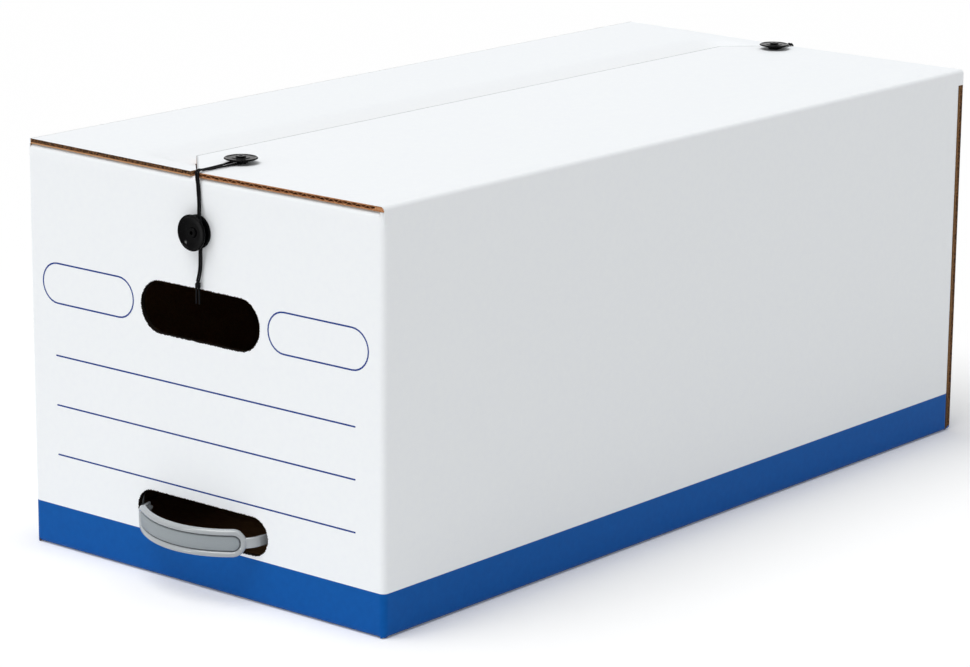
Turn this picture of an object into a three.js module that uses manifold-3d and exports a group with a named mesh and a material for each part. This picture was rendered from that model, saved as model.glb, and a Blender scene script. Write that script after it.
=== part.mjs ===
// Storage box: a long corrugated file box with a string-and-button closure, in millimetres.
// X runs across the front, Y runs from the front (-Y) to the back, Z is up.
// The origin is the middle of the underside.
import * as THREE from 'three';
import { mergeVertices } from 'three/addons/utils/BufferGeometryUtils.js';
import Module from 'manifold-3d';

const wasm = await Module();
wasm.setup();

// Driving sizes of the closed box.
const width = 311;
const length = 640;
const height = 273;
const board = 3.2;
const clearance = 0.3;
const layerGap = 0.4;
const cornerRadius = 4;
const foldRadius = 3.6;
const leftRise = 1.9;

// Flaps: the outer one hangs on the right wall and laps over the inner one.
const outerFlapWidth = 193.5;
const cornerCut = 37.5;
const flapLap = 20;
const innerTipGap = 6.5;
const innerBevelReach = 31;
const innerBevelRun = 26;
const innerTipEdge = 5;
const lapBevel = 14;
const dipRun = 36;
const dipStart = 12;
const dipMargin = 2;
const dustFlapDepth = 150;
const dustFlapDroop = 0.13;
const slot = 1.6;
const glueTab = 35;

// Bottom: each end wall folds at the floor, and its flap climbs over the ends of the two
// outer bottom flaps, which meet in a seam below the seam of the lid.
const bottomSeam = 1.2;
const footSlope = 24;

// Corrugation of the outer flap.
const liner = 0.35;
const flutePitch = 7.4;
const flutePoints = 4;
const hingeEdge = 6;

// Openings cut in the end walls.
const handHole = { width: 104, height: 34.5, z: 180.5 };
const handleSlot = { width: 115, height: 25.5, z: 44 };

// Buttons: a dished cap over a base disc on each end wall, and a low disc on the flap.
const button = {
  drop: 37.7, capRadius: 11.8, baseRadius: 11, baseThick: 1.5, discRadius: 11, discThick: 1.4,
  throat: 2.1, collar: 3, shank: 2.2, bore: 1.2, headRadius: 3.5, headThick: 0.7,
  backing: 8, backingThick: 0.8,
};
const frontFlapButtonInset = 39;
const backFlapButtonInset = 20;

// Carrying handle of moulded plastic, hooked through the slot in the front wall.
const grip = {
  reach: 27, bowRadius: 75, bowAngle: 40, turnRadius: 12, turnAngle: 35, height: 18, thick: 3.2,
  bead: 3.7, recess: 0.9, armHeight: 7, armThick: 2.2, droop: 5, pegRadius: 1.4, footReach: 10,
  footHeight: 9, footThick: 2.4, axisDrop: 1,
};

// String: two strands side by side, tied below the wall button.
const string = {
  diameter: 1.35, sides: 8, step: 3.4, pitch: 1.75, tail: 14,
  knotDrop: 70.1, knotRadius: 1.9, knotTurns: 3,
};

const colours = { white: 0xeef2f5, black: 0x0b0b0c, grey: 0xb4b8bb };

function material(name, roughness, metalness = 0) {
  return new THREE.MeshStandardMaterial({ color: colours[name], roughness, metalness });
}

// Closed geometry to solid and back, for cutting and joining.
function solid(geometry) {
  const bare = geometry.clone();
  bare.deleteAttribute('normal');
  bare.deleteAttribute('uv');
  const merged = mergeVertices(bare, 1e-4);
  const corners = merged.index.array;
  const kept = [];
  for (let i = 0; i < corners.length; i += 3) {
    const [a, b, c] = [corners[i], corners[i + 1], corners[i + 2]];
    if (a !== b && b !== c && c !== a) {
      kept.push(a, b, c);
    }
  }
  return new wasm.Manifold(new wasm.Mesh({
    numProp: 3,
    vertProperties: new Float32Array(merged.attributes.position.array),
    triVerts: new Uint32Array(kept),
  }));
}

function geometryOf(body) {
  const mesh = body.getMesh();
  const geometry = new THREE.BufferGeometry();
  geometry.setAttribute('position', new THREE.BufferAttribute(new Float32Array(mesh.vertProperties), 3));
  geometry.setIndex(new THREE.BufferAttribute(new Uint32Array(mesh.triVerts), 1));
  geometry.computeVertexNormals();
  return geometry;
}

function join(...bodies) {
  return bodies.reduce((whole, body) => whole.add(body));
}

function cut(body, ...tools) {
  return tools.reduce((whole, tool) => whole.subtract(tool), body);
}

// A board outline seen from its edge: the path runs along one face, the board's
// thickness lies to the left of it, and each fold, to either hand, is an arc.
function foldedSection(points, thickness, radius, arcSteps = 5) {
  const outer = [];
  const inner = [];
  const last = points.length - 1;
  const direction = (i) => points[i + 1].clone().sub(points[i]).normalize();
  const leftOf = (d) => new THREE.Vector2(-d.y, d.x);
  const first = direction(0);
  outer.push(points[0]);
  inner.push(points[0].clone().addScaledVector(leftOf(first), thickness));
  for (let i = 1; i < last; i += 1) {
    const before = direction(i - 1);
    const after = direction(i);
    const hand = Math.sign(before.cross(after));
    const turn = Math.acos(THREE.MathUtils.clamp(before.dot(after), -1, 1));
    const bend = hand > 0 ? radius : radius - thickness;
    const start = points[i].clone().addScaledVector(before, -bend * Math.tan(turn / 2));
    const centre = start.clone().addScaledVector(leftOf(before), hand * bend);
    for (let k = 0; k <= arcSteps; k += 1) {
      const swept = (hand * turn * k) / arcSteps;
      const ray = leftOf(before).multiplyScalar(-hand).rotateAround(new THREE.Vector2(), swept);
      outer.push(centre.clone().addScaledVector(ray, bend));
      inner.push(centre.clone().addScaledVector(ray, bend - hand * thickness));
    }
  }
  const end = direction(last - 1);
  outer.push(points[last]);
  inner.push(points[last].clone().addScaledVector(leftOf(end), thickness));
  return new THREE.Shape([...outer, ...inner.reverse()]);
}

// Extrusions along the three axes, centred on zero unless two ends are given.
function alongZ(shape, low, high, options = {}) {
  const depth = high - low;
  const geometry = new THREE.ExtrudeGeometry(shape, { depth, bevelEnabled: false, ...options });
  return geometry.translate(0, 0, low);
}

// The shape is drawn in X and Z and runs from front to back.
function alongY(shape, low, high, options = {}) {
  return alongZ(shape, -high, -low, options).rotateX(Math.PI / 2);
}

// The shape is drawn in Y and Z and runs from left to right.
function alongX(shape, low, high, options = {}) {
  return alongZ(shape, low, high, options).rotateX(Math.PI / 2).rotateZ(Math.PI / 2);
}

function rectangle(left, right, low, high) {
  const at = (x, y) => new THREE.Vector2(x, y);
  return new THREE.Shape([at(left, low), at(right, low), at(right, high), at(left, high)]);
}

function block(xLow, xHigh, yLow, yHigh, zLow, zHigh) {
  return solid(alongZ(rectangle(xLow, xHigh, yLow, yHigh), zLow, zHigh));
}

function stadium(across, tall, x, z) {
  const radius = tall / 2;
  const straight = across / 2 - radius;
  const shape = new THREE.Shape();
  shape.moveTo(x - straight, z - radius);
  shape.lineTo(x + straight, z - radius);
  shape.absarc(x + straight, z, radius, -Math.PI / 2, Math.PI / 2, false);
  shape.lineTo(x - straight, z + radius);
  shape.absarc(x - straight, z, radius, Math.PI / 2, (3 * Math.PI) / 2, false);
  return shape;
}

// Places that several pieces share.
const side = width / 2;
const end = length / 2;
const endWallTop = height - board - layerGap;
const endWallFoot = board + layerGap;
const leftTop = height + leftRise;
const seamX = side - outerFlapWidth;
const lapX = seamX + flapLap;
const frontFlapButtonY = -end + frontFlapButtonInset;
const backFlapButtonY = end - backFlapButtonInset;
const bore = button.shank + clearance;
const buttonZ = height - button.drop;
const innerTipX = -innerTipGap;

// The inner flap is a sheet that sinks below the outer flap where the two lap.
function innerFlapOutline() {
  const half = [
    [-side + foldRadius, end],
    [innerTipX, end],
    [innerTipX, end - innerTipEdge],
    [innerTipX - innerBevelRun, end - innerBevelReach],
    [lapX, end - innerBevelReach - lapBevel],
  ];
  return [...half, ...half.map(([x, y]) => [x, -y]).reverse()];
}

function innerFlapTop(x, y) {
  const inset = end - Math.abs(y);
  const base = THREE.MathUtils.mapLinear(x, -side, innerTipX, leftTop, height);
  const sunk = height - board - layerGap;
  const across = THREE.MathUtils.smoothstep(x, seamX - dipRun, seamX - dipMargin);
  const along = THREE.MathUtils.smoothstep(inset, dipStart, innerBevelReach - 1);
  return THREE.MathUtils.lerp(base, sunk, across * along);
}

// A closed sheet over a grid of X and Y lines, following a height at each crossing.
function sheetOverGrid(xs, ys, topAt, thickness) {
  const positions = [];
  const index = [];
  const columns = xs.length;
  const rows = ys.length;
  const layer = columns * rows;
  const at = (level, i, j) => level * layer + j * columns + i;
  for (const drop of [0, thickness]) {
    for (const y of ys) {
      for (const x of xs) {
        positions.push(x, y, topAt(x, y) - drop);
      }
    }
  }
  const quad = (a, b, c, d) => index.push(a, b, c, a, c, d);
  for (let j = 0; j < rows - 1; j += 1) {
    for (let i = 0; i < columns - 1; i += 1) {
      quad(at(0, i, j), at(0, i + 1, j), at(0, i + 1, j + 1), at(0, i, j + 1));
      quad(at(1, i, j), at(1, i, j + 1), at(1, i + 1, j + 1), at(1, i + 1, j));
    }
  }
  for (let i = 0; i < columns - 1; i += 1) {
    quad(at(1, i, 0), at(1, i + 1, 0), at(0, i + 1, 0), at(0, i, 0));
    quad(at(0, i, rows - 1), at(0, i + 1, rows - 1), at(1, i + 1, rows - 1), at(1, i, rows - 1));
  }
  for (let j = 0; j < rows - 1; j += 1) {
    quad(at(0, 0, j), at(0, 0, j + 1), at(1, 0, j + 1), at(1, 0, j));
    const far = columns - 1;
    quad(at(1, far, j), at(1, far, j + 1), at(0, far, j + 1), at(0, far, j));
  }
  const geometry = new THREE.BufferGeometry();
  geometry.setAttribute('position', new THREE.Float32BufferAttribute(positions, 3));
  geometry.setIndex(index);
  return geometry;
}

function innerFlap() {
  const steps = (low, high, count) => (
    Array.from({ length: count + 1 }, (_, k) => low + ((high - low) * k) / count)
  );
  const dip = steps(seamX - dipRun, seamX - dipMargin, 7);
  const xs = [-side + foldRadius, ...dip, seamX + flapLap / 3, lapX, innerTipX];
  const rise = steps(end - innerBevelReach - lapBevel, end - dipStart, 8);
  const ys = [-end, ...rise.map((y) => -y).reverse(), ...rise, end];
  const sheet = solid(sheetOverGrid(xs, ys, innerFlapTop, board));
  const outline = new THREE.Shape(innerFlapOutline().map(([x, y]) => new THREE.Vector2(x, y)));
  return sheet.intersect(solid(alongZ(outline, height - 20, height + 20)));
}

// One blank makes the walls, the bottom flaps, the dust flaps and the inner flap.
function boxBody() {
  const v = (x, y) => new THREE.Vector2(x, y);
  const sheetOverlap = 0.4;
  const leftWall = foldedSection([
    v(-side + foldRadius + sheetOverlap, leftTop), v(-side, leftTop), v(-side, 0),
    v(seamX - bottomSeam / 2, 0),
  ], board, foldRadius);
  const rightWall = foldedSection([
    v(seamX + bottomSeam / 2, 0), v(side, 0), v(side, height - board - clearance),
  ], board, foldRadius);
  const sides = join(...[leftWall, rightWall].map((section) => solid(alongY(section, -end, end))));

  // The corner of an end wall's foot lies below the floor, so that its arc just touches it.
  const slope = THREE.MathUtils.degToRad(footSlope);
  const footCorner = foldRadius * (1 - Math.tan((Math.PI / 2 + slope) / 2));
  const climbEnd = -end + (endWallFoot - footCorner) / Math.tan(slope);
  const flapStart = climbEnd + clearance * 3;
  const droop = dustFlapDepth * dustFlapDroop;
  const frontWall = foldedSection([
    v(-end + dustFlapDepth, endWallTop - droop), v(-end, endWallTop), v(-end, footCorner),
    v(climbEnd, endWallFoot), v(-end + dustFlapDepth, endWallFoot),
  ], board, foldRadius);
  const front = solid(alongX(frontWall, -side + board / 2, side - board / 2));
  const footRoom = block(
    -side + board, side - board, -end - 1, flapStart, -1, board + layerGap / 2,
  );
  const walls = join(cut(sides, footRoom, footRoom.mirror([0, 1, 0])), front, front.mirror([0, 1, 0]));

  // Each flap is parted from its neighbours by a slot.
  const slots = [];
  const slotStart = -end + board + layerGap;
  const slotEnd = slotStart + dustFlapDepth;
  for (const x of [-side + board, side - board - slot]) {
    slots.push(block(x, x + slot, slotStart, flapStart, -1, endWallFoot + board + 1));
    slots.push(block(x, x + slot, flapStart - 1, slotEnd, board + layerGap / 2, endWallFoot + board + 1));
    slots.push(block(
      x, x + slot, slotStart, slotEnd, endWallTop - droop - board * 2, height - board - clearance / 2,
    ));
  }
  const parting = join(...slots);

  // Three upright corners are rounded folds. At the back right one the side wall folds in
  // behind the end panel, whose raw edge shows, and a tab is glued to the panel's inner face.
  const folds = [
    foldCutter(-side, -end, 1, 1, 1), foldCutter(side, -end, -1, 1, 1), foldCutter(-side, end, 1, -1, 1),
    foldCutter(side, end - board, -1, -1, 0),
  ];
  const tab = block(
    side - glueTab, side - board / 2, end - board * 2, end - board / 2,
    endWallFoot + foldRadius, endWallTop - foldRadius * 2,
  );

  const depth = board * 3;
  const hole = (shape, y) => solid(alongY(shape, y - depth, y + depth, { curveSegments: 10 }));
  const shank = stadium(bore * 2 + 0.01, bore * 2, 0, buttonZ);
  const holes = [-end, end].flatMap((y) => [
    hole(stadium(handHole.width, handHole.height, 0, handHole.z), y), hole(shank, y),
  ]);
  holes.push(hole(stadium(handleSlot.width, handleSlot.height, 0, handleSlot.z), -end));

  const cuts = [parting, parting.mirror([0, 1, 0]), ...folds, ...holes];
  return join(cut(join(walls, tab), ...cuts), innerFlap());
}

// The waste outside a rounded upright fold whose sharp corner would be at x, y. It runs past
// the corner in Y by the given distance.
function foldCutter(x, y, inX, inY, past) {
  const shape = new THREE.Shape();
  const steps = 5;
  shape.moveTo(x - inX, y - inY * past);
  shape.lineTo(x - inX, y + inY * cornerRadius);
  for (let k = 0; k <= steps; k += 1) {
    const angle = ((Math.PI / 2) * k) / steps;
    shape.lineTo(
      x + inX * cornerRadius * (1 - Math.cos(angle)),
      y + inY * cornerRadius * (1 - Math.sin(angle)),
    );
  }
  shape.lineTo(x + inX * cornerRadius, y - inY * past);
  return solid(alongZ(shape, -1, leftTop + 1));
}

// The outer flap is corrugated board: two liners with a wave of fluted paper between them,
// open at both ends, so each channel of the wave is cut through the slab.
function fluteChannels() {
  const medium = liner * 0.9;
  const rise = board / 2 - liner - medium / 2;
  const spread = Math.acos(-1 + medium / rise) / (2 * Math.PI);
  const room = outerFlapWidth - hingeEdge - liner - spread * flutePitch;
  const count = Math.floor(room / (flutePitch / 2));
  const channels = [];
  for (let k = 0; k < count; k += 1) {
    const up = k % 2 === 0 ? 1 : -1;
    const middle = -hingeEdge - (flutePitch / 2) * (k + 1);
    const points = [];
    for (let i = 0; i <= flutePoints; i += 1) {
      const turn = THREE.MathUtils.mapLinear(i, 0, flutePoints, -spread, spread);
      const wave = -rise * Math.cos(2 * Math.PI * turn) + medium / 2;
      points.push(new THREE.Vector2(middle + turn * flutePitch, -board / 2 + up * wave));
    }
    channels.push(solid(alongY(new THREE.Shape(points), -end - 1, end + 1)));
  }
  return channels;
}

function outerFlap() {
  const nose = board - liner;
  const section = new THREE.Shape();
  section.moveTo(-outerFlapWidth, -board);
  section.lineTo(0, -board);
  section.absarc(-nose, -nose, nose, 0, Math.PI / 2, false);
  section.lineTo(-outerFlapWidth, 0);
  const slab = solid(alongY(section, -end, end, { curveSegments: 5 }));
  const corner = new THREE.Shape([
    new THREE.Vector2(-outerFlapWidth - cornerCut, -end - cornerCut),
    new THREE.Vector2(-outerFlapWidth + cornerCut + cornerCut, -end - cornerCut),
    new THREE.Vector2(-outerFlapWidth - cornerCut, -end + cornerCut + cornerCut),
  ]);
  const tool = solid(alongZ(corner, -board * 2, board));
  const holes = [frontFlapButtonY, backFlapButtonY].map((y) => {
    const round = new THREE.CylinderGeometry(bore, bore, board * 4, 16);
    return solid(round.rotateX(Math.PI / 2).translate(-side, y, 0));
  });
  return cut(slab, join(...fluteChannels()), tool, tool.mirror([0, 1, 0]), ...holes);
}

// Turned pieces of a button, each ring drawn by radius and height above the board's outer face.
function turned(profile, segments) {
  const points = [...profile, profile[0]].map(([radius, z]) => new THREE.Vector2(radius, z));
  return new THREE.LatheGeometry(points, segments).rotateX(Math.PI / 2);
}

const backingTop = -board - clearance;
const backingFoot = backingTop - button.backingThick;
const baseTop = clearance + button.baseThick;

function capGeometry(foot) {
  const rim = button.capRadius;
  return turned([
    [bore, foot], [rim * 0.62, foot], [rim * 0.9, foot + 0.6], [rim, foot + 1.5], [rim, foot + 2.3],
    [rim - 0.5, foot + 2.8], [rim - 1.2, foot + 2.7], [rim - 2, foot + 1.9], [rim * 0.55, foot + 1.1],
    [bore, foot + 1.1],
  ], 28);
}

function baseGeometry() {
  const rim = button.baseRadius;
  return turned([
    [bore, clearance], [rim, clearance], [rim, baseTop - 0.5], [rim - 0.8, baseTop], [bore, baseTop],
  ], 28);
}

function discGeometry(foot) {
  const rim = button.discRadius;
  const top = foot + button.discThick;
  return turned([
    [bore, foot], [rim - 1, foot], [rim, foot + 0.5], [rim, top - 0.5], [rim - 0.7, top],
    [rim - 1.7, top - 0.25], [rim - 2.4, top - 0.5], [rim * 0.55, top - 0.5], [rim * 0.5, top - 0.05],
    [bore, top - 0.05],
  ], 28);
}

function rivetGeometry(collarFoot, headFoot) {
  const flangeTop = backingFoot - clearance;
  const flangeFoot = flangeTop - button.headThick;
  const headTop = headFoot + button.headThick;
  const { shank, collar, headRadius } = button;
  return turned([
    [button.bore, flangeFoot], [headRadius - 0.3, flangeFoot], [headRadius, flangeTop], [shank, flangeTop],
    [shank, collarFoot], [collar, collarFoot], [collar, collarFoot + button.throat],
    [shank, collarFoot + button.throat], [shank, headFoot], [headRadius, headFoot],
    [headRadius - 0.4, headTop], [button.bore, headTop],
  ], 14);
}

function backingGeometry() {
  return turned([
    [bore, backingFoot], [button.backing, backingFoot], [button.backing, backingTop], [bore, backingTop],
  ], 24);
}

function addMesh(group, name, geometry, look) {
  const mesh = new THREE.Mesh(geometry, look);
  mesh.name = name;
  group.add(mesh);
  return mesh;
}

const black = material('black', 0.25);

// A wall button has a base disc, and its cap stands off far enough for the string.
function wallButton(prefix) {
  const set = new THREE.Group();
  const collarFoot = baseTop + clearance;
  const capFoot = collarFoot + button.throat + clearance;
  addMesh(set, `${prefix}_cap`, capGeometry(capFoot), black);
  addMesh(set, `${prefix}_base`, baseGeometry(), black);
  addMesh(set, `${prefix}_rivet`, rivetGeometry(collarFoot, capFoot + 1.1 + clearance), black);
  addMesh(set, `${prefix}_backing`, backingGeometry(), material('grey', 0.6));
  return set;
}

function flapButton(prefix) {
  const set = new THREE.Group();
  const discFoot = clearance + button.throat + clearance;
  const headFoot = discFoot + button.discThick - 0.05 + clearance;
  addMesh(set, `${prefix}_disc`, discGeometry(discFoot), black);
  addMesh(set, `${prefix}_rivet`, rivetGeometry(clearance, headFoot), black);
  addMesh(set, `${prefix}_backing`, backingGeometry(), material('grey', 0.6));
  return set;
}

// The handle's back face follows a bow, a tighter turn and a straight arm through the slot.
const pegDepth = board + clearance + grip.pegRadius;

function handleSpine() {
  const bow = grip.bowRadius - grip.thick;
  const bowTurn = THREE.MathUtils.degToRad(grip.bowAngle);
  const fullTurn = bowTurn + THREE.MathUtils.degToRad(grip.turnAngle);
  const bowLength = bow * bowTurn;
  const turnLength = grip.turnRadius * (fullTurn - bowTurn);
  const crown = grip.reach - grip.thick;
  const bowEnd = { x: bow * Math.sin(bowTurn), out: crown - bow * (1 - Math.cos(bowTurn)) };
  const turnEnd = {
    x: bowEnd.x + grip.turnRadius * (Math.sin(fullTurn) - Math.sin(bowTurn)),
    out: bowEnd.out - grip.turnRadius * (Math.cos(bowTurn) - Math.cos(fullTurn)),
  };
  const armLength = (turnEnd.out + pegDepth + grip.pegRadius / 2) / Math.sin(fullTurn);
  const at = (distance) => {
    const s = Math.abs(distance);
    let point;
    let angle = fullTurn;
    if (s <= bowLength) {
      angle = s / bow;
      point = { x: bow * Math.sin(angle), out: crown - bow * (1 - Math.cos(angle)) };
    } else if (s <= bowLength + turnLength) {
      angle = bowTurn + (s - bowLength) / grip.turnRadius;
      point = {
        x: bowEnd.x + grip.turnRadius * (Math.sin(angle) - Math.sin(bowTurn)),
        out: bowEnd.out - grip.turnRadius * (Math.cos(bowTurn) - Math.cos(angle)),
      };
    } else {
      const along = s - bowLength - turnLength;
      point = { x: turnEnd.x + along * Math.cos(angle), out: turnEnd.out - along * Math.sin(angle) };
    }
    const hand = Math.sign(distance) || 1;
    return { x: hand * point.x, out: point.out, angle: hand * angle };
  };
  return { at, bowLength, turnLength, armLength, armX: turnEnd.x + armLength * Math.cos(fullTurn) };
}

// Height and thickness of the strap at a distance along it: a rounded bead frames a recessed field.
function handleSection(distance, gripLength) {
  const s = Math.abs(distance);
  const half = grip.height / 2;
  const field = half - grip.bead;
  const beyond = Math.max(0, s - (gripLength - half));
  const arm = s > gripLength;
  const round = (radius) => Math.sqrt(Math.max(0, radius ** 2 - beyond ** 2));
  const outer = arm ? grip.armHeight / 2 : Math.max(grip.armHeight / 2, round(half));
  const inner = Math.max(0.2, round(field));
  const depth = THREE.MathUtils.smoothstep(inner, 0.2, 1.5);
  const scale = arm ? grip.armThick / grip.thick : 1;
  const top = grip.thick;
  const crest = (outer + inner) / 2;
  const upper = [
    [outer - 0.7, 0], [outer, top * 0.3], [outer, top * 0.6], [outer - 0.9, top * 0.92], [crest, top],
    [inner + 0.5, top - 0.4 * depth], [inner, top - grip.recess * depth],
  ];
  const lower = upper.map(([v, w]) => [-v, w]).reverse();
  return [...upper, ...lower].map(([v, w]) => [v, w * scale]);
}

function loft(rings) {
  const positions = rings.flat(2);
  const count = rings[0].length;
  const index = [];
  for (let j = 0; j < rings.length - 1; j += 1) {
    for (let i = 0; i < count; i += 1) {
      const next = (i + 1) % count;
      const row = j * count;
      const [a, b] = [row + i, row + next];
      index.push(a, b, b + count, a, b + count, a + count);
    }
  }
  const flat = (ring) => (
    THREE.ShapeUtils.triangulateShape(ring.map(([v, w]) => new THREE.Vector2(v, w)), [])
  );
  return { positions, index, count, flat };
}

function handle() {
  const spine = handleSpine();
  const gripLength = spine.bowLength;
  const half = grip.height / 2;
  const full = gripLength + spine.turnLength + spine.armLength;
  const stops = [];
  for (let k = 0; k <= 7; k += 1) {
    stops.push(((gripLength - half) * k) / 7);
  }
  for (let k = 1; k <= 8; k += 1) {
    stops.push(gripLength - half + half * Math.sin((Math.PI / 2) * (k / 8)));
  }
  stops.push(gripLength + 0.5, gripLength + spine.turnLength / 2, gripLength + spine.turnLength, full);
  const distances = [...stops.slice(1).map((s) => -s).reverse(), ...stops];
  const sink = Math.tan(THREE.MathUtils.degToRad(grip.droop));
  const sections = distances.map((s) => handleSection(s, gripLength));
  const rings = distances.map((s, j) => {
    const { x, out, angle } = spine.at(s);
    return sections[j].map(([v, w]) => {
      const reach = out + w * Math.cos(angle);
      return [x + w * Math.sin(angle), -reach, v - sink * (reach + pegDepth)];
    });
  });
  const { positions, index, count, flat } = loft(rings);
  const lastRing = (rings.length - 1) * count;
  for (const [a, b, c] of flat(sections[0])) {
    index.push(a, c, b);
  }
  for (const [a, b, c] of flat(sections[sections.length - 1])) {
    index.push(lastRing + a, lastRing + b, lastRing + c);
  }
  const geometry = new THREE.BufferGeometry();
  geometry.setAttribute('position', new THREE.Float32BufferAttribute(positions, 3));
  geometry.setIndex(index);
  const strap = solid(geometry).translate([0, -pegDepth, 0]);

  const footIn = handleSlot.width / 2 + 1;
  const footOut = handleSlot.width / 2 + grip.footReach;
  const pegIn = spine.armX - 1;
  const pegGeometry = new THREE.CylinderGeometry(grip.pegRadius, grip.pegRadius, footOut - pegIn, 16);
  const peg = solid(pegGeometry.rotateZ(Math.PI / 2).translate((footOut + pegIn) / 2, 0, 0));
  const foot = block(
    footIn, footOut, -grip.footThick / 2, grip.footThick / 2, -grip.pegRadius / 3, grip.footHeight,
  );
  const hook = join(peg, foot);
  return join(strap, hook, hook.mirror([1, 0, 0]));
}

// Route of one strand. The loop round the flap button's collar comes first; then the strand
// runs to the edge, as [share of the button's inset, x], and down past the wall button's shank,
// as [x, inset from the end face, height above the lid].
const flapStretch = [[1, 3.98], [0.86, 3.7], [0.66, 2.9], [0.42, 2.25], [0.2, 1.95]];
const wallStretch = [
  [1.9, 2.9, 1.4], [1.9, 0.5, 1.75], [1.9, -1.4, 0.6], [1.95, -1.8, -2], [2.1, -1.25, -7],
  [2.5, -1.1, -14], [3.3, -1.6, -20], [4.4, -2.8, -26.5], [5.5, -2.8, -32], [5.9, -2.8, -37.7],
  [5.6, -2.8, -44], [5.1, -2.8, -49], [4.3, -2.1, -55], [3.4, -1.5, -61], [2.6, -1.8, -66],
  [1.95, -2.3, -69.6],
];
const knotPlace = { x: 1.05, out: 2.3 };

function strandPoints(buttonInset, hand, looped) {
  const lie = height + clearance + string.diameter / 2;
  const radius = button.collar + clearance + string.diameter / 2;
  const points = [];
  if (looped) {
    const gap = (string.diameter + clearance) / radius;
    for (let k = 0; k < 6; k += 1) {
      const angle = THREE.MathUtils.mapLinear(k, 0, 6, gap, Math.PI);
      points.push([radius * Math.cos(angle), buttonInset + radius * Math.sin(angle), lie]);
    }
  }
  for (const [share, x] of flapStretch) {
    points.push([hand > 0 ? x : 2 - x * 1.5 + (share - 1) * 0.2, buttonInset * share, lie]);
  }
  for (const [x, inset, rise] of wallStretch) {
    points.push([hand > 0 ? x : x - string.pitch, inset, height + rise]);
  }
  return points;
}

function strandGeometry(points, face) {
  const route = points.map(([x, inset, z]) => new THREE.Vector3(x, face * (end - inset), z));
  const curve = new THREE.CatmullRomCurve3(route, false, 'centripetal');
  const section = new THREE.Shape();
  const radius = string.diameter / 2;
  section.moveTo(radius, 0);
  for (let k = 1; k < string.sides; k += 1) {
    const angle = (2 * Math.PI * k) / string.sides;
    section.lineTo(radius * Math.cos(angle), radius * Math.sin(angle));
  }
  const steps = Math.ceil(curve.getLength() / string.step);
  return new THREE.ExtrudeGeometry(section, { steps, extrudePath: curve, bevelEnabled: false });
}

// The knot is a short barrel of turns with the two cut ends hanging from it.
function knot(face) {
  const radius = string.knotRadius;
  const turn = string.diameter;
  const points = [new THREE.Vector2(0, 0)];
  for (let k = 0; k < string.knotTurns; k += 1) {
    points.push(new THREE.Vector2(radius * 0.7, k * turn));
    points.push(new THREE.Vector2(radius, (k + 0.3) * turn));
    points.push(new THREE.Vector2(radius, (k + 0.7) * turn));
  }
  points.push(new THREE.Vector2(radius * 0.7, string.knotTurns * turn));
  points.push(new THREE.Vector2(0, string.knotTurns * turn));
  const barrel = solid(new THREE.LatheGeometry(points, 12).rotateX(Math.PI / 2));
  const tails = [-1, 1].map((hand) => {
    const tail = new THREE.CylinderGeometry(turn / 2, turn / 2, string.tail, string.sides);
    const lean = THREE.MathUtils.degToRad(3) * hand;
    return solid(tail.rotateX(Math.PI / 2).translate(0, 0, -string.tail / 2 + turn / 2)
      .rotateY(-lean).translate(hand * 0.6, 0, 0));
  });
  const foot = height - string.knotDrop - string.knotTurns * turn;
  return join(barrel, ...tails).translate([knotPlace.x, face * (end + knotPlace.out), foot]);
}

const box = new THREE.Group();
box.name = 'storage_box';
addMesh(box, 'box_body', geometryOf(boxBody()), material('white', 0.75));

const flap = new THREE.Group();
flap.position.set(side, 0, height);
addMesh(flap, 'outer_flap', geometryOf(outerFlap()), material('white', 0.75));
for (const [name, y] of [['front_flap_button', frontFlapButtonY], ['back_flap_button', backFlapButtonY]]) {
  const set = flapButton(name);
  set.position.set(-side, y, 0);
  flap.add(set);
}
box.add(flap);

for (const [name, face] of [['front', -1], ['back', 1]]) {
  const set = wallButton(`${name}_wall_button`);
  set.position.set(0, face * end, buttonZ);
  set.rotation.x = -face * (Math.PI / 2);
  box.add(set);

  const inset = face < 0 ? frontFlapButtonInset : backFlapButtonInset;
  addMesh(box, `${name}_string_looped`, strandGeometry(strandPoints(inset, -1, true), face), black);
  addMesh(box, `${name}_string_plain`, strandGeometry(strandPoints(inset, 1, false), face), black);
  addMesh(box, `${name}_string_knot`, geometryOf(knot(face)), black);
}

const carryingHandle = addMesh(box, 'carrying_handle', geometryOf(handle()), material('grey', 0.35));
carryingHandle.position.set(0, -end + pegDepth, handleSlot.z - grip.axisDrop);

export default box;
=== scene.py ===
# Storage box of corrugated board, closed with strings and buttons, with a plastic carrying handle.
# Everything is in metres: X runs across the front, Y from the front to the back, Z is up.
import math
import random

import bmesh
import bpy
from mathutils import Matrix, Vector


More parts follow.
